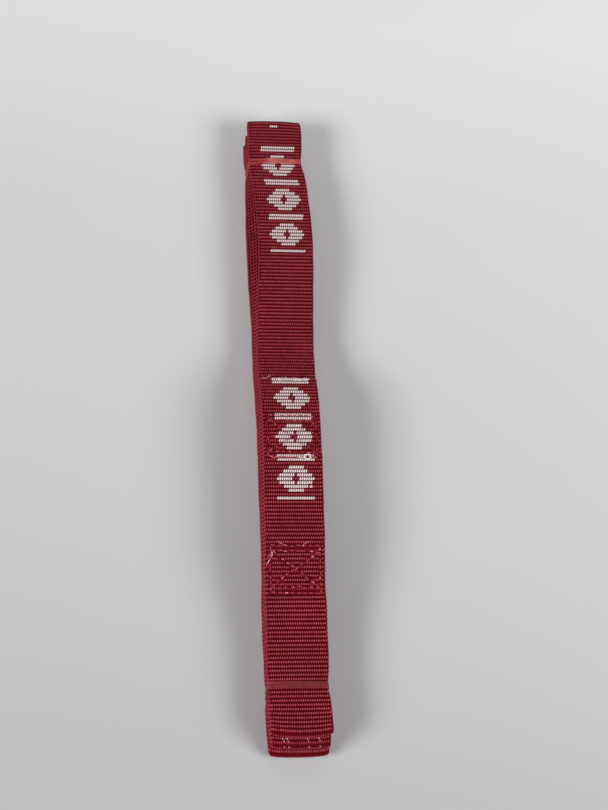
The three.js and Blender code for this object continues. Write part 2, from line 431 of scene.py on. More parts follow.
def webbing_material():
    """Red ribbed weave: painted shade in the grooves, a painted highlight on the crowns, fine fibres
    and white pattern yarns.
    """
    n = Nodes("woven_webbing")
    painted_rib_light, across, along = n.attribute("painted_rib_light"), n.attribute("across"), n.attribute("along")
    white = n.attribute("white")
    yarn = n.maths("FLOOR", n.attribute("yarn"))
    rib = n.maths("FLOOR", n.maths("DIVIDE", along, RIB_PITCH))
    cell = n.add("ShaderNodeTexWhiteNoise", {"noise_dimensions": "2D"})
    n.put(cell.inputs["Vector"], n.vector(yarn, rib))
    cloudy = n.noise(n.vector(across, along), 0.09, 2.0)
    fibres = n.noise(n.vector(n.maths("MULTIPLY", across, 9.0), along), 1.3, 4.0)

    # Painted shade in the grooves, the red's own tone, and a painted pinkish highlight on the crowns,
    # mixed by the crown value.
    groove_shade = (0.075, 0.0004, 0.0030, 1)
    body = (0.215, 0.0062, 0.0165, 1)
    light = (0.92, 0.235, 0.290, 1)
    red = n.mix(n.remap(painted_rib_light, 0.05, 0.50), groove_shade, body)
    red = n.mix(n.remap(painted_rib_light, 0.50, 1.0), red, light)
    shade = n.maths("MULTIPLY", cell.outputs["Value"], 0.36)
    shade = n.maths("ADD", shade, n.maths("MULTIPLY", fibres, 0.5))
    shade = n.maths("ADD", shade, n.maths("MULTIPLY", cloudy, 0.35))
    red = n.scaled(red, n.maths("ADD", shade, 0.35))

    ivory = n.mix(fibres, (0.90, 0.70, 0.72, 1), (1.0, 0.86, 0.87, 1))
    # Between white yarns, where the crown value is low, a dark grey paints their shade.
    pale = n.mix(n.remap(painted_rib_light, 0.10, 0.70), (0.13, 0.045, 0.052, 1), ivory)
    shown = n.maths("MULTIPLY", white, n.remap(painted_rib_light, 0.0, 0.12))
    n.put(n.shader.inputs["Base Color"], n.mix(shown, red, pale))
    n.put(n.shader.inputs["Roughness"], n.remap(fibres, 0.2, 0.8, 0.50, 0.72))
    shine = n.maths("ADD", n.remap(painted_rib_light, 0.1, 0.7, 0.04, 0.22), n.maths("MULTIPLY", shown, 0.3))
    n.put(n.shader.inputs["Specular IOR Level"], shine)
    n.put(n.shader.inputs["Normal"], n.bump(fibres, 0.00006, 0.7))
    return n.material


def thread_material(name, dark, light, glint):
    """Thread or loose fibres: fine slanted strands with a soft shine and patches of painted glint."""
    n = Nodes(name)
    place = n.add("ShaderNodeTexCoord").outputs["Object"]
    twist = n.add("ShaderNodeTexWave", {"bands_direction": "DIAGONAL"}, Scale=900.0, Distortion=1.5)
    n.put(twist.inputs["Vector"], place)
    grain = n.noise(place, 1500.0, 2.0)
    blend = n.maths("MULTIPLY", n.maths("ADD", twist.outputs["Fac"], grain), 0.5)
    # Patches where a painted glint, a highlight colour, is mixed in.
    glint_patches = n.remap(n.noise(place, 760.0, 1.0), 0.57, 0.68)
    n.put(n.shader.inputs["Base Color"], n.mix(glint_patches, n.mix(blend, dark, light), glint))
    n.put(n.shader.inputs["Roughness"], n.remap(grain, 0.3, 0.7, 0.42, 0.6))
    n.put(n.shader.inputs["Specular IOR Level"], 0.25)
    n.put(n.shader.inputs["Normal"], n.bump(twist.outputs["Fac"], 0.00005, 0.8))
    return n.material


def rubber_material(name, thick, thin, stretched):
    """Translucent orange rubber: a little cloudy, thinner and redder where it is stretched."""
    n = Nodes(name)
    place = n.add("ShaderNodeTexCoord").outputs["Object"]
    streaks = n.noise(place, 260.0, 3.0)
    specks = n.noise(place, 2600.0, 2.0)
    stretch = n.attribute("stretch")
    colour = n.mix(n.remap(streaks, 0.3, 0.7), thick, thin)
    colour = n.mix(stretch, colour, stretched)
    n.put(n.shader.inputs["Base Color"], colour)
    n.put(n.shader.inputs["Roughness"], n.remap(specks, 0.3, 0.7, 0.30, 0.48))
    n.put(n.shader.inputs["Subsurface Weight"], 0.35)
    n.put(n.shader.inputs["Subsurface Radius"], (0.0012, 0.0005, 0.0002))
    n.put(n.shader.inputs["Subsurface Scale"], 0.6)
    n.put(n.shader.inputs["Normal"], n.bump(specks, 0.00004, 0.5))
    return n.material


webbing_look = webbing_material()
seam_look = thread_material(
    "sewing_thread", (0.16, 0.002, 0.007, 1), (0.55, 0.058, 0.085, 1), (0.80, 0.24, 0.28, 1))
fray_look = thread_material(
    "red_fibres", (0.45, 0.06, 0.08, 1), (0.80, 0.30, 0.33, 1), (0.98, 0.62, 0.62, 1))
white_look = thread_material(
    "white_fibres", (0.80, 0.66, 0.66, 1), (0.98, 0.86, 0.85, 1), (1.0, 0.95, 0.93, 1))


# ---------------------------------------------------------------------------------------------
# Woven webbing
# ---------------------------------------------------------------------------------------------

def straight(line, start, end):
    """A stretch of a layer's middle line from y start to y end, as rows of (x, y, z)."""
    count = max(2, int(abs(end - start) / ROUTE_STEP))
    y = np.linspace(start, end, count)
    x, z = line.at(y)
    return np.stack([x, y, z], axis=1)


def bend(first, second, tip, outward):
    """The half circle that joins two layers at a folded end. outward is +1 north and -1 south.

    Its radius is half the layers' spacing where it starts, which depends on the radius: from a first
    guess it settles in a few rounds.
    """
    radius = 0.9
    for _ in range(3):
        centre = tip - outward * (CORE_HALF + RIB_HEIGHT + radius)
        radius = abs(first.at(centre)[1] - second.at(centre)[1]) / 2
    centre = tip - outward * (CORE_HALF + RIB_HEIGHT + radius)
    x, top = first.at(centre)
    _, bottom = second.at(centre)
    angle = np.linspace(0, math.pi, FOLD_POINTS + 2)[1:-1]
    y = centre + outward * radius * np.sin(angle)
    z = (top + bottom) / 2 + (top - bottom) / 2 * np.cos(angle)
    return centre, np.stack([np.full_like(y, x), y, z], axis=1)


def folded(first, start, second, end, tip, outward, reach=0.0):
    """A route along one layer, round its folded end and back along the next."""
    centre, arc = bend(first, second, tip + outward * reach, outward)
    return np.concatenate([straight(first, start, centre), arc, straight(second, centre, end)])


def pattern_cell(row, column):
    """True where the generic pattern shows a white yarn."""
    row, column = row % len(PATTERN_OUTER), np.abs(column - PATTERN_SHIFT)
    return (column <= PATTERN_OUTER[row]) & (column >= PATTERN_HOLLOW[row])


def seam_lines(seam):
    """The rows of a box-and-cross seam as (first end, second end, how proud the thread lies).

    Both ends have a double row. x is measured from the middle of the webbing.
    """
    (left, y0, _), (right, y1, _) = box_mm(seam)
    half = (right - left) / 2 - SEAM_INSET
    y0, y1 = y0 + SEAM_INSET, y1 - SEAM_INSET
    low, high = y0 + END_ROW_GAP, y1 - END_ROW_GAP
    return [
        ((-half, y0), (half, y0), END_ROW_PROUD), ((-half, y1), (half, y1), END_ROW_PROUD),
        ((-half, low), (half, low), INNER_ROW_PROUD), ((-half, high), (half, high), INNER_ROW_PROUD),
        ((-half, y0), (-half, y1), SIDE_PROUD), ((half, y0), (half, y1), SIDE_PROUD),
        ((-half, low), (half, high), CROSS_PROUD), ((-half, high), (half, low), CROSS_PROUD),
    ]


def distance_to_rows(x, y, rows):
    """The distance from each place to the nearest seam row."""
    nearest = np.full(np.broadcast(x, y).shape, np.inf)
    for (ax, ay), (bx, by), _ in rows:
        length = math.hypot(bx - ax, by - ay)
        t = np.clip(((x - ax) * (bx - ax) + (y - ay) * (by - ay)) / length ** 2, 0, 1)
        nearest = np.minimum(nearest, np.hypot(x - ax - t * (bx - ax), y - ay - t * (by - ay)))
    return nearest


def outline(yarn_samples):
    """The webbing's cross-section: offsets across and up, outward directions and kinds of side."""
    face = np.linspace(FACE_HALF, -FACE_HALF, YARNS * yarn_samples + 1)
    turn = np.linspace(0, math.pi, EDGE_POINTS + 2)[1:-1]
    back = np.linspace(-FACE_HALF, FACE_HALF, BACK_POINTS)
    edge_x, edge_z = np.sin(turn), np.cos(turn)
    out_x = np.concatenate([np.zeros_like(face), -edge_x, np.zeros_like(back), edge_x])
    out_z = np.concatenate([np.ones_like(face), edge_z, -np.ones_like(back), -edge_z])
    x = np.concatenate([face, -FACE_HALF - CORE_HALF * edge_x, back, FACE_HALF + CORE_HALF * edge_x])
    kind = np.repeat([FACE, EDGE, BACK, EDGE], [len(face), len(turn), len(back), len(turn)])
    return x, CORE_HALF * out_z, out_x, out_z, kind


def bowed(y, x, tips):
    """How far each place is pulled in across and along a folded end, most at its corners."""
    across, along = np.zeros_like(y), np.zeros_like(y)
    for tip, outward, bow, corner, narrowing in tips:
        near = np.clip(1 - np.abs(tip - y) / CORNER_REACH, 0, 1) ** 1.5
        side = np.abs(x) / (WIDTH / 2)
        along -= outward * near * (bow * side ** 2 + corner * np.clip(side, 0, 1) ** 10)
        across -= near * narrowing * x / (WIDTH / 2)
    return across, along


def rings_along(route, steps):
    """Rings along a route, steps to each rib: rib count, distances, middles and outward normals."""
    lengths = np.concatenate([[0], np.cumsum(np.linalg.norm(np.diff(route, axis=0), axis=1))])
    ribs = max(1, round(lengths[-1] / RIB_PITCH))
    s = np.linspace(0, lengths[-1], ribs * steps + 1)
    middle = np.stack([np.interp(s, lengths, route[:, i]) for i in range(3)], axis=1)
    along = np.gradient(middle, axis=0)
    along /= np.linalg.norm(along, axis=1, keepdims=True)
    normal = np.stack([np.zeros(len(s)), along[:, 2], -along[:, 1]], axis=1)
    normal /= np.linalg.norm(normal, axis=1, keepdims=True)
    return ribs, s, middle, normal


def pattern_rows(patterns, rib_y, rib_up):
    """The pattern's row number at each rib, or -1 where there is none."""
    rows = np.full(len(rib_y), -1)
    for start_y, run, facing in patterns:
        inside = np.flatnonzero((rib_up * facing > 0.3) & ((rib_y - start_y) * run > 0))
        nearest = inside[np.argsort(np.abs(rib_y[inside] - start_y))][:PATTERN_ROWS]
        rows[nearest] = np.arange(len(nearest))
    return rows


def raised_cosine(phase):
    """0 at whole numbers, 1 halfway between them."""
    return 0.5 - 0.5 * np.cos(2 * math.pi * phase)


def webbing(name, route, patterns=(), seams=(), tips=(), flecks=(), yarn_samples=4, steps=6):
    """A closed strip of woven webbing along a route, its fine face on the route's left-hand side.

    patterns lists (y where a white pattern starts, +1 or -1 for the way its rows run, face up or
    down). seams are CAD seam nodes that press this strip's face. tips lists (y, outward, bow, corner,
    narrowing). flecks lists (y, reach along y, lowest and highest upward tilt of the face, yarn
    columns) where single white yarns show.
    """
    ribs, s, middle, normal = rings_along(route, steps)
    rings, y = len(s), middle[:, 1]
    across, up, out_x, out_z, kind = outline(yarn_samples)
    on_face = (kind == FACE)[None, :]

    # The weave: ribs that swell and sink along the strip, yarns that swell and sink across it.
    phase = (np.arange(rings) / steps) % 1.0
    rib_index = np.minimum(np.arange(rings) // steps, ribs - 1)
    rib = (raised_cosine(phase) ** RIB_SHARPNESS)[:, None]
    jitter = YARN_JITTER * rng.integers(-1, 2, ribs)[rib_index]
    slant = YARN_SLANT * (phase - 0.5) + jitter
    yarn_place = across[None, :] / YARN_PITCH + YARNS / 2 + slant[:, None]
    yarn_phase = yarn_place % 1.0
    pillow = 1 - np.abs(2 * yarn_phase - 1) ** 2
    strand = raised_cosine(yarn_phase) ** YARN_SHARPNESS
    column = np.floor(yarn_place).astype(int) - YARNS // 2

    # White yarns, worked out rib by rib at the rib's middle.
    rib_centre = np.minimum(np.arange(ribs) * steps + steps // 2, rings - 1)
    row = pattern_rows(patterns, y[rib_centre], normal[rib_centre, 2])[rib_index][:, None]
    white = (row >= 0) & pattern_cell(np.maximum(row, 0), column) & on_face
    for fleck_y, reach, low, high, columns in flecks:
        place = (np.abs(y - fleck_y) < reach) & (normal[:, 2] > low) & (normal[:, 2] < high)
        white |= place[:, None] & np.isin(column, columns) & on_face

    # How far the surface swells past the core, and the crown value that paints a highlight on crowns
    # and shade in grooves, between yarns and between edge scallops.
    face = RIB_HEIGHT * rib + (YARN_HEIGHT + WHITE_HEIGHT * white) * pillow * np.sqrt(rib)
    face = face + WHITE_FILL * white * (1 - rib)
    edge = EDGE_SWELL + EDGE_SCALLOP * np.sqrt(rib)
    back = RIB_HEIGHT * rib * BACK_SHARE
    lift = np.where(on_face, face, np.where(kind == EDGE, edge, back))
    ridge = np.where(white, np.sqrt(rib), rib)
    painted_rib_light = np.where(on_face, ridge * (0.12 + 0.88 * strand), rib * 0.55 + 0.10)

    # Seams and bands press it down. Beside a seam the crown value also drops, which paints shade
    # there.
    for seam in seams:
        gap = distance_to_rows(across[None, :], y[:, None], seam_lines(seam))
        pressed = np.exp(-0.5 * (gap / SEAM_PRESS_REACH) ** 2) * on_face
        lift = lift - pressed * (SEAM_PRESS + SEAM_FLATTENING * lift)
        painted_rib_light = painted_rib_light * (1 - SEAM_PAINTED_SHADE * pressed)
    for band_y in (UPPER_BAND, LOWER_BAND):
        face_press = np.exp(-((y - band_y) / FACE_PRESS_REACH) ** 4)[:, None]
        edge_press = np.exp(-((y - band_y + EDGE_PRESS_SHIFT) / EDGE_PRESS_REACH) ** 4)[:, None]
        lift = lift * (1 - BAND_PRESS * np.where(kind == EDGE, edge_press, face_press))
    wobble = sum(size * np.sin(s * rate + rng.uniform(0, 6)) for size, rate in WOBBLES)
    squeeze = sum(np.exp(-((y - b) / BAND_PINCH_REACH) ** 2) for b in (UPPER_BAND, LOWER_BAND))

    lift_x = (across + out_x * lift) * (1 - BAND_PINCH * squeeze[:, None]) + wobble[:, None]
    lift_n = up[None, :] + out_z[None, :] * lift
    sideways = np.array([1.0, 0.0, 0.0])
    points = middle[:, None, :] + lift_x[..., None] * sideways + lift_n[..., None] * normal[:, None, :]
    aside = points[..., 0] - middle[:, None, 0]
    inwards, backwards = bowed(points[..., 1], aside, tips)
    points[..., 0] += inwards
    points[..., 1] += backwards + WEFT_SKEW * aside
    # The underside lies flat on the ground instead of sinking into it.
    points[..., 2] = np.maximum(points[..., 2], GROUND_GAP)

    sides = len(across)
    ends = points[[0, -1]].mean(axis=1)
    quads, caps = closed_faces(rings, sides)
    points = np.concatenate([points.reshape(-1, 3), ends])
    piece = make_mesh(name, points, quads[:, ::-1], caps[:, ::-1], webbing_look)

    def on_points(values, end_value):
        spread = np.broadcast_to(values, (rings, sides)).ravel()
        return np.concatenate([spread, [end_value, end_value]])

    # Places are shifted so that the material's noise and rounding never see a negative number.
    shift = 50.0
    # The crown value carries the painted highlight on crowns and the painted shade in grooves.
    add_attribute(piece, "painted_rib_light", "POINT", on_points(painted_rib_light, 0.4))
    add_attribute(piece, "across", "POINT", on_points(across[None, :] + shift, shift))
    add_attribute(piece, "yarn", "POINT", on_points(yarn_place + shift, shift))
    add_attribute(piece, "along", "POINT", on_points(s[:, None] + shift, shift))
    quad_white = white[:-1, :] & white[1:, :]
    quad_white &= np.roll(quad_white, -1, axis=1)
    add_attribute(piece, "white", "FACE", np.concatenate([quad_white.ravel(), np.zeros(len(caps))]))
    return piece


# ---------------------------------------------------------------------------------------------
# The strap, layer by layer
# ---------------------------------------------------------------------------------------------

# Two runs are split where other layers hide the split, so that each part has its own detail.
RUN_1_SPLIT = TOP_TAIL_END - 9
RUN_5_SPLIT = UPPER_BAND - 35
NORTH_PATTERN = NORTH - 15.5
UNDERSIDE_PATTERN = SOUTH + 80
NORTH_FLECK = NORTH - 2.9
NORTH_FLECK_YARNS = (-2, -1, 0, 1)
SOUTH_FLECK_YARNS = (-8, -6, 3, 8)
north_tip = {n: box_mm(n)[1][1] for n in NORTH_FOLDS}
south_tip = {n: box_mm(n)[0][1] for n in SOUTH_FOLDS}

woven_top_tail = webbing(
    "woven_top_tail",
    folded(top_tail, TOP_TAIL_END, run_1, LOWER_BAND, south_tip["south_eye_fold"], -1),
    patterns=[(TOP_TAIL_END, -1, 1)],
    seams=["top_tail_seam", "top_eye_seam"],
    tips=[(south_tip["south_eye_fold"], -1, 1.2, 0.3, 0.0)],
)
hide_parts("top_tail", "south_eye_fold")

woven_run_1 = webbing(
    "woven_run_1",
    folded(run_2, UPPER_BAND, run_1, RUN_1_SPLIT, north_tip["north_fold_1"], 1, reach=0.9),
    patterns=[(NORTH_PATTERN, -1, 1)],
    tips=[(north_tip["north_fold_1"], 1, 0.6, 0.1, 0.0)],
    flecks=[(NORTH_FLECK, 0.95, 0.5, 1.1, NORTH_FLECK_YARNS)],
)
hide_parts("strap_run_1", "north_fold_1")

woven_run_1_south = webbing(
    "woven_run_1_south", straight(run_1, RUN_1_SPLIT, LOWER_BAND), yarn_samples=2, steps=4)
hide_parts("strap_run_1")

woven_run_2 = webbing(
    "woven_run_2",
    folded(run_2, UPPER_BAND, run_3, LOWER_BAND, south_tip["south_fold_2"], -1, reach=1.0),
    tips=[(south_tip["south_fold_2"], -1, 0.5, 0.5, 0.7)],
    flecks=[
        (south_tip["south_fold_2"] + 1.9, 0.9, 0.90, 1.1, SOUTH_FLECK_YARNS),
        (south_tip["south_fold_2"], 3.0, 0.10, 0.86, SOUTH_FLECK_YARNS),
    ],
    yarn_samples=3, steps=5,
)
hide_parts("strap_run_2", "south_fold_2")

woven_run_3 = webbing(
    "woven_run_3",
    folded(run_4, UPPER_BAND, run_3, LOWER_BAND, north_tip["north_fold_2"], 1),
    tips=[(north_tip["north_fold_2"], 1, 0.5, 0.4, 0.0)],
    yarn_samples=3, steps=5,
)
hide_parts("strap_run_3", "north_fold_2")

woven_run_4 = webbing(
    "woven_run_4",
    folded(run_4, UPPER_BAND, run_5, LOWER_BAND, south_tip["south_fold_3"], -1, reach=0.6),
    tips=[(south_tip["south_fold_3"], -1, 0.6, 0.7, 0.5)],
    flecks=[(south_tip["south_fold_3"], 3.0, -0.75, 0.05, SOUTH_FLECK_YARNS)],
    yarn_samples=3, steps=5,
)
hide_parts("strap_run_4", "south_fold_3")

woven_bottom_tail = webbing(
    "woven_bottom_tail",
    folded(bottom_tail, BOTTOM_TAIL_END, run_5, RUN_5_SPLIT, north_tip["north_eye_fold"], 1),
    patterns=[(BOTTOM_TAIL_END, 1, -1)],
    seams=["bottom_tail_seam", "bottom_eye_seam"],
    tips=[(north_tip["north_eye_fold"], 1, 0.5, 0.4, 0.0)],
)
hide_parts("bottom_tail", "north_eye_fold")

woven_run_5 = webbing(
    "woven_run_5",
    straight(run_5, LOWER_BAND, RUN_5_SPLIT),
    patterns=[(UNDERSIDE_PATTERN, 1, -1)],
    yarn_samples=3,
)
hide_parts("strap_run_5")


# ---------------------------------------------------------------------------------------------
# Sewn seams
# ---------------------------------------------------------------------------------------------

def face_height(line, y, facing):
    """The height of a layer's ribbed face at y."""
    return line.at(y)[1] + facing * (CORE_HALF + RIB_HEIGHT * 0.55)


def stitches(seam, line, facing, sunk):
    """Every stitch of a seam, as a short arc that rises from the weave and dips back into it."""
    paths = []
    for (ax, ay), (bx, by), proud in seam_lines(seam):
        length = math.hypot(bx - ax, by - ay)
        count = max(1, round(length / STITCH_LENGTH))
        for i in range(count):
            a = (i + STITCH_GAP / 2 / STITCH_LENGTH) / count
            b = (i + 1 - STITCH_GAP / 2 / STITCH_LENGTH) / count
            t = np.linspace(a, b, STITCH_POINTS)
            drift = rng.normal(0, STITCH_DRIFT, 2)
            y = ay + (by - ay) * t + drift[1]
            x = line.at(y)[0] + ax + (bx - ax) * t + drift[0]
            arch = np.sin(np.linspace(0, math.pi, STITCH_POINTS)) ** 0.6
            height = proud - sunk + rng.normal(0, 0.05)
            rise = facing * (-THREAD_SINK + (THREAD_SINK + height) * arch)
            paths.append(np.stack([x, y, face_height(line, y, facing) + rise], axis=1))
    return paths


for seam, line, facing, sunk in (
    ("top_eye_seam", top_tail, 1, 0.0),
    ("top_tail_seam", top_tail, 1, TAIL_SEAM_SUNK),
    ("bottom_eye_seam", bottom_tail, -1, 0.0),
    ("bottom_tail_seam", bottom_tail, -1, TAIL_SEAM_SUNK),
):
    paths = stitches(seam, line, facing, sunk)
    sewn = tubes(f"stitched_{seam}", paths, THREAD_RADIUS, seam_look, sides=8)
    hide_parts(seam)
    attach(sewn, "root")


# ---------------------------------------------------------------------------------------------
# Frayed cut ends and loose threads
# ---------------------------------------------------------------------------------------------

def fibre(start, heading, length):
    """A loose fibre: a short path that leaves along heading and curls."""
    heading = np.array(heading, dtype=float)
    heading /= np.linalg.norm(heading)
    path = [np.array(start, dtype=float)]
    for _ in range(FIBRE_POINTS - 1):
        heading = heading + FIBRE_CURL * rng.normal(0, 1, 3) * np.array([1, 1, 0.6])
        heading /= np.linalg.norm(heading)
        path.append(path[-1] + heading * length / (FIBRE_POINTS - 1))
    return np.array(path)


def frayed_end(end_y, line, outward, count, half_width, longest):
    """Fibres along a cut end, pointing outwards and a little up."""
    paths = []
    for _ in range(count):
        x = rng.uniform(-half_width, half_width)
        _, z = line.at(end_y)
        start = (x, end_y - outward * 0.3, z + rng.uniform(-0.5, 0.75))
        heading = (rng.normal(0, 0.5), outward, rng.uniform(-0.1, 0.7))
        paths.append(fibre(start, heading, rng.uniform(SHORTEST_FIBRE, longest)))
    return paths


def cut_loops(count, half_width):
    """Pattern yarns that curl over at the top tail's cut end: small upside-down Us on its face."""
    paths = []
    places = np.linspace(-half_width, half_width, count) + rng.normal(0, 0.15, count)
    for x in places + PATTERN_SHIFT:
        reach = rng.uniform(0.9, 2.4)
        turn = np.linspace(0, math.pi, 10)
        across = x + rng.uniform(0.25, 0.45) * (1 - np.cos(turn))
        along = TOP_TAIL_END - reach + (reach + rng.uniform(-0.5, 0.3)) * np.sin(turn) ** 0.7
        middle, z = top_tail.at(TOP_TAIL_END)
        rise = 0.35 * np.sin(turn) + rng.uniform(0, 0.2)
        paths.append(np.stack([middle + across, along, z + CORE_HALF + RIB_HEIGHT + rise], axis=1))
    return paths


FRAY_HALF = WIDTH / 2 - 0.3
red_fray = tubes(
    "frayed_top_end",
    frayed_end(TOP_TAIL_END, top_tail, 1, count=60, half_width=FRAY_HALF, longest=1.3),
    FIBRE_RADIUS, fray_look, sides=5)
white_fray = tubes(
    "frayed_pattern_yarns",
    cut_loops(count=13, half_width=7.7)
    + frayed_end(TOP_TAIL_END, top_tail, 1, count=10, half_width=8.4, longest=1.2),
    PATTERN_FIBRE_RADIUS, white_look, sides=6)
low_fray = tubes(
    "frayed_bottom_end",
    frayed_end(BOTTOM_TAIL_END, bottom_tail, -1, count=80, half_width=FRAY_HALF, longest=1.3),
    FIBRE_RADIUS, fray_look, sides=5)


def on_tail(x, y, above):
    """A place a little above the top tail's face; x is measured from the tail's middle."""
    middle, z = top_tail.at(y)
    return np.array([middle + x, y, z + CORE_HALF + RIB_HEIGHT + above])


def coil(x, y, radius, turns, wander):
    """A curled thread end lying on the top tail."""
    path = []
    for t in np.linspace(0, turns, int(14 * turns)):
        a = 2 * math.pi * t
        r = radius * (1 - 0.25 * t / turns) + wander * math.sin(2.3 * a)
        above = THREAD_ABOVE + 0.25 * math.sin(1.7 * a) + 0.2 * t
        path.append(on_tail(x + r * math.cos(a), y + r * math.sin(a) * 0.9, above))
    return np.array(path)


def lying(points):
    """A thread that lies on the top tail through the given places, with small wriggles."""
    points = np.array(points, dtype=float)
    t = np.linspace(0, len(points) - 1, 8 * len(points))
    x = np.interp(t, range(len(points)), points[:, 0]) + 0.12 * np.sin(5.1 * t)
    y = np.interp(t, range(len(points)), points[:, 1]) + 0.12 * np.cos(4.3 * t)
    above = THREAD_ABOVE + 0.12 * np.sin(3 * t)
    return np.array([on_tail(*place) for place in zip(x, y, above)])


SEAM_ROW = box_mm("top_tail_seam")[0][1]
EYE_SEAM_TOP = box_mm("top_eye_seam")[1][1]
white_ends = tubes("loose_white_thread", [
    coil(6.2, SEAM_ROW + 0.5, radius=1.45, turns=2.4, wander=0.15),
    coil(7.4, SEAM_ROW - 14.0, radius=0.5, turns=1.2, wander=0.1),
    lying([(1.6, SEAM_ROW + 0.9), (3.2, SEAM_ROW), (5.0, SEAM_ROW + 0.6)]),
    lying([(5.5, TOP_TAIL_END - 1.2), (6.8, TOP_TAIL_END - 0.2), (8.2, TOP_TAIL_END - 0.9),
           (9.6, TOP_TAIL_END - 0.2)]),
], WHITE_END_RADIUS, white_look, sides=8)
red_ends = tubes("loose_red_thread", [
    lying([(-10.8, EYE_SEAM_TOP - 3.0), (-9.6, EYE_SEAM_TOP - 4.8), (-10.9, EYE_SEAM_TOP - 7.4),
           (-12.3, EYE_SEAM_TOP - 10.2)]),
    lying([(-9.2, EYE_SEAM_TOP - 3.4), (-10.2, EYE_SEAM_TOP - 5.0), (-11.6, EYE_SEAM_TOP - 6.2)]),
    lying([(-7.4, EYE_SEAM_TOP + 0.9), (-6.4, EYE_SEAM_TOP + 0.2), (-5.2, EYE_SEAM_TOP - 0.6)]),
    lying([(3.4, EYE_SEAM_TOP - 0.4), (4.4, EYE_SEAM_TOP + 0.5), (5.6, EYE_SEAM_TOP + 0.7)]),
    lying([(-10.6, SEAM_ROW + 0.4), (-8.2, SEAM_ROW - 0.4), (-6.2, SEAM_ROW + 0.5), (-4.4, SEAM_ROW)]),
    lying([(-11.6, TOP_TAIL_END - 0.9), (-9.8, TOP_TAIL_END - 0.3), (-7.6, TOP_TAIL_END + 1.2)]),
], RED_END_RADIUS, fray_look, sides=8)
for piece in (red_fray, white_fray, low_fray, white_ends, red_ends):
    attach(piece, "root")


# ---------------------------------------------------------------------------------------------
# Rubber bands
# ---------------------------------------------------------------------------------------------

def band_stops(half_width, bottom, top):
    """Places round the stack with outward normals, from the middle of the right side over the top.

    Each row is x, z, outward x and outward z. Also given are the numbers of the first and last row on
    the left side, and of the first row on the right side after the underside.
    """
    rows = []

    # Both of these add rows and give back how many there are so far.
    def stretch(x0, z0, x1, z1, out):
        steps = max(2, int(math.hypot(x1 - x0, z1 - z0) / BAND_STEP))
        for t in np.linspace(0, 1, steps, endpoint=False):
            rows.append((x0 + (x1 - x0) * t, z0 + (z1 - z0) * t, *out))
        return len(rows)

    def corner(x, z, from_angle):
        for a in np.linspace(from_angle, from_angle + math.pi / 2, 7, endpoint=False):
            out = (math.cos(a), math.sin(a))
            rows.append((x + BAND_CORNER * out[0], z + BAND_CORNER * out[1], *out))
        return len(rows)

    middle = (bottom + top) / 2
    low, high, inner = bottom + BAND_CORNER, top - BAND_CORNER, half_width - BAND_CORNER
    stretch(half_width, middle, half_width, high, (1, 0))
    corner(inner, high, 0)
    stretch(inner, top, -inner, top, (0, 1))
    left_first = corner(-inner, high, math.pi / 2)
    left_last = stretch(-half_width, high, -half_width, low, (-1, 0)) - 1
    corner(-inner, low, math.pi)
    stretch(-inner, bottom, inner, bottom, (0, -1))
    right_first = corner(inner, low, 1.5 * math.pi)
    stretch(half_width, low, half_width, middle, (1, 0))
    return np.array(rows), left_first, left_last, right_first


def ramp(value, start, end):
    """0 up to start and 1 past end, with a smooth rise between them."""
    t = np.clip((value - start) / (end - start), 0, 1)
    return t * t * (3 - 2 * t)


def rounded(wave, size):
    """A circle's cosine or sine, squared off and scaled to a size across."""
    return np.sign(wave) * np.abs(wave) ** STRAND_SQUARENESS * size / 2


def rubber_band(name, node, line, droop, slant, material):
    """One loop wound twice: two strands, side by side on top.

    They part on the left side, where one slants south by slant, and cross on the right side. droop is
    how far both sag southwards on the left.
    """
    at = middle_y(node)
    half = STRAND_THICK / 2
    weave = (RIB_HEIGHT + YARN_HEIGHT * 0.5) * (1 - BAND_PRESS)
    edge = (EDGE_SWELL + EDGE_SCALLOP) * (1 - BAND_PRESS)
    held = (FACE_HALF + CORE_HALF) * (1 - BAND_PINCH) + edge
    bottom = box_mm(node)[0][2] + half
    top = line.at(at)[1] + CORE_HALF + weave + half
    stops, left_first, left_last, right_first = band_stops(held + half, bottom, top)
    x, z, out_x, out_z = stops.T
    index = np.arange(len(stops))
    parting = ramp(index, left_first - int(STRAND_LEAD / BAND_STEP), left_last)
    meeting = ramp(index, left_last, right_first)
    crossing = ramp(index, right_first, len(stops))
    south = -STRAND_APART / 2 - slant * (parting - meeting) + STRAND_APART * crossing
    north = STRAND_APART / 2 - STRAND_APART * crossing
    over = np.exp(-0.5 * ((south - north) / (STRAND_WIDTH * 0.4)) ** 2)
    drooping = droop * ramp(x, -1.0, -11.0) * (1 - meeting)
    lean = np.interp(z, [bottom, top], [run_5.at(at)[0], line.at(at)[0]])
    path = np.concatenate([
        np.stack([x + lean + out_x * lift, at + offset - drooping, z + out_z * lift], axis=1)
        for offset, lift in ((south, CROSSING_LIFT * over), (north, 0.0))
    ])
    out = np.tile(np.stack([out_x, np.zeros_like(out_x), out_z], axis=1), (2, 1))
    along = np.roll(path, -1, axis=0) - np.roll(path, 1, axis=0)
    along /= np.linalg.norm(along, axis=1, keepdims=True)
    wide = np.cross(along, out)
    wide /= np.linalg.norm(wide, axis=1, keepdims=True)
    # The rubber is narrower where it stretches over the left shoulder.
    wide *= 1 - 0.35 * ramp(path[:, [0]], -3.0, -9.0)
    angle = np.linspace(0, 2 * math.pi, STRAND_POINTS, endpoint=False)[None, :, None]
    across = wide[:, None] * rounded(np.cos(angle), STRAND_WIDTH)
    points = path[:, None] + across + out[:, None] * rounded(np.sin(angle), STRAND_THICK)
    quads = ring_faces(len(path), STRAND_POINTS, closed=True)
    band = make_mesh(name, points.reshape(-1, 3), quads, [], material)
    relaxed = ramp(path[:, 0], -7.5, -2.5) * ramp(path[:, 0], 11.0, 6.0)
    on_top = np.clip(out[:, 2], 0, 1) * relaxed
    add_attribute(band, "stretch", "POINT", np.repeat(1 - 0.9 * on_top, STRAND_POINTS))
    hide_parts(node)
    return band


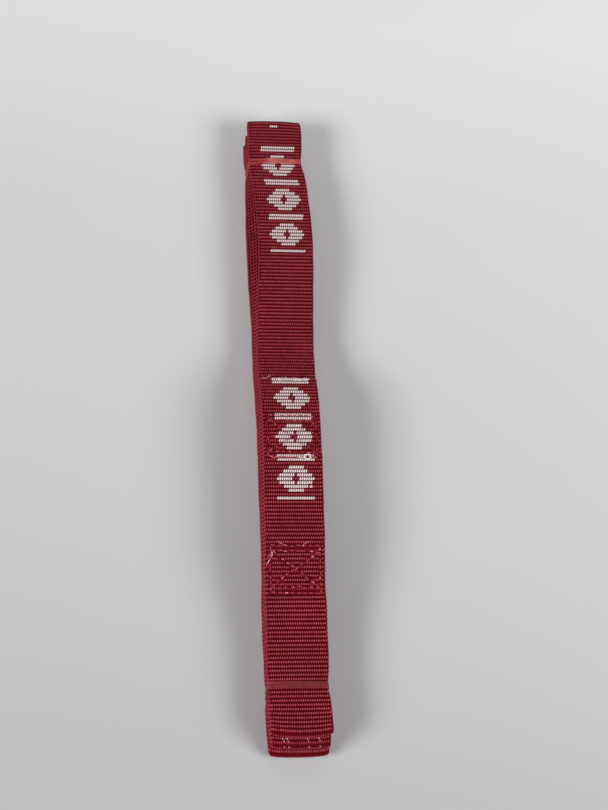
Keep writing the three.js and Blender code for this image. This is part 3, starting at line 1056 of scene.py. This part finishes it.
upper_look = rubber_material(
    "orange_rubber", (0.40, 0.068, 0.052, 1), (0.56, 0.135, 0.105, 1), (0.38, 0.034, 0.034, 1))
lower_look = rubber_material(
    "brown_rubber", (0.145, 0.013, 0.016, 1), (0.205, 0.026, 0.026, 1), (0.215, 0.020, 0.022, 1))
upper_band = rubber_band(
    "upper_band_strands", "upper_rubber_band", run_1, droop=1.0, slant=2.4, material=upper_look)
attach(upper_band, "upper_band")
lower_band = rubber_band(
    "lower_band_strands", "lower_rubber_band", top_tail, droop=0.0, slant=0.8, material=lower_look)
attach(lower_band, "lower_band")


# ---------------------------------------------------------------------------------------------
# Bodies
# ---------------------------------------------------------------------------------------------


def leaf(piece):
    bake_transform(piece)


leaf(woven_run_1)
leaf(woven_run_3)
leaf(woven_top_tail)
leaf(woven_run_2)
for piece in (woven_run_1_south, woven_run_4, woven_bottom_tail, woven_run_5):
    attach(piece, "root")


# ---------------------------------------------------------------------------------------------
# Floor, light and camera
# ---------------------------------------------------------------------------------------------

# Sizes and places of the floor and lights are in metres. The floor's tone carries painted light
# falloff: it rises from south to north near the bundle, as (y, lightness), and a little from left to
# right.
FLOOR_SIZE = 2.6
FLOOR_PAINTED_FALLOFF = ((-0.20, 0.480), (-0.136, 0.535), (-0.04, 0.605), (0.124, 0.700), (0.233, 0.825))
FLOOR_TINT = (1.0, 0.985, 0.995)
FLOOR_PAINTED_SIDE_LIGHT = 0.3
FLOOR_CLOUDS = 0.03
FLOOR_LEVEL = 0.985


def floor():
    """A pale, faintly cloudy floor whose graded tone is painted light falloff."""
    n = Nodes("pale_floor")
    place = n.add("ShaderNodeTexCoord").outputs["Object"]
    sides = n.add("ShaderNodeSeparateXYZ", Vector=place)
    south, north = FLOOR_PAINTED_FALLOFF[0][0], FLOOR_PAINTED_FALLOFF[-1][0]
    painted_falloff = n.add("ShaderNodeValToRGB")
    northing = n.maths("DIVIDE", n.maths("SUBTRACT", sides.outputs["Y"], south), north - south)
    n.put(painted_falloff.inputs["Fac"], northing)
    stops = painted_falloff.color_ramp.elements
    while len(stops) < len(FLOOR_PAINTED_FALLOFF):
        stops.new(0.5)
    for stop, (y, tone) in zip(stops, FLOOR_PAINTED_FALLOFF):
        stop.position = (y - south) / (north - south)
        stop.color = (*(tone * part for part in FLOOR_TINT), 1)
    clouds = n.maths("MULTIPLY", n.noise(place, 9.0, 4.0), FLOOR_CLOUDS)
    # Painted light also rises a little from left to right, with faint clouds on top.
    aside = n.maths("ADD", n.maths("MULTIPLY", sides.outputs["X"], FLOOR_PAINTED_SIDE_LIGHT), clouds)
    graded = n.scaled(painted_falloff.outputs["Color"], n.maths("ADD", aside, FLOOR_LEVEL))
    n.put(n.shader.inputs["Base Color"], graded)
    n.put(n.shader.inputs["Roughness"], 0.7)
    bpy.ops.mesh.primitive_plane_add(size=FLOOR_SIZE, location=(0, 0, 0))
    ground = bpy.context.object
    ground.name = "floor"
    ground.data.materials.append(n.material)


def area_light(name, place, size, power):
    """A rectangular light that faces the bundle."""
    light = bpy.data.lights.new(name, "AREA")
    light.shape = "RECTANGLE"
    light.size, light.size_y = size
    light.energy = power
    lamp = bpy.data.objects.new(name, light)
    lamp.location = place
    lamp.rotation_euler = (-Vector(place)).to_track_quat("-Z", "Y").to_euler()
    bpy.context.scene.collection.objects.link(lamp)


floor()
area_light("left_window", (-1.58, -0.82, 0.92), (1.1, 0.62), 40.0)
area_light("right_window", (1.36, -0.76, 0.98), (1.2, 0.80), 28.8)
area_light("north_window", (0.0, 1.50, 1.10), (1.6, 0.8), 6.8)

# The wall past the floor looks pale from any camera, but lights the bundle only weakly.
WALL_LIGHT = 0.052
WALL_SEEN = 0.62

world = bpy.data.worlds.new("studio")
world.use_nodes = True
wall = world.node_tree.nodes["Background"]
wall.inputs["Color"].default_value = (0.95, 0.96, 1.0, 1)
seen = world.node_tree.nodes.new("ShaderNodeLightPath").outputs["Is Camera Ray"]
strength = world.node_tree.nodes.new("ShaderNodeMapRange")
strength.inputs["To Min"].default_value = WALL_LIGHT
strength.inputs["To Max"].default_value = WALL_SEEN
world.node_tree.links.new(seen, strength.inputs["Value"])
world.node_tree.links.new(strength.outputs["Result"], wall.inputs["Strength"])
bpy.context.scene.world = world

# Place, sensor and lens in millimetres, turn in degrees.
CAMERA_PLACE = (-109.7, -456.2, 753.4)
CAMERA_TURN = (31.63, -7.55, -2.36)
CAMERA_SENSOR = 36.0
CAMERA_LENS = 87.689

camera = bpy.data.cameras.new("camera")
camera.sensor_fit = "AUTO"
camera.sensor_width = CAMERA_SENSOR
camera.lens = CAMERA_LENS
camera.clip_start, camera.clip_end = 0.01, 20.0
viewer = bpy.data.objects.new("camera", camera)
viewer.location = Vector(CAMERA_PLACE) * MM
viewer.rotation_euler = Euler([math.radians(a) for a in CAMERA_TURN], "XYZ")
bpy.context.scene.collection.objects.link(viewer)
bpy.context.scene.camera = viewer
bpy.context.scene.view_settings.view_transform = "Standard"
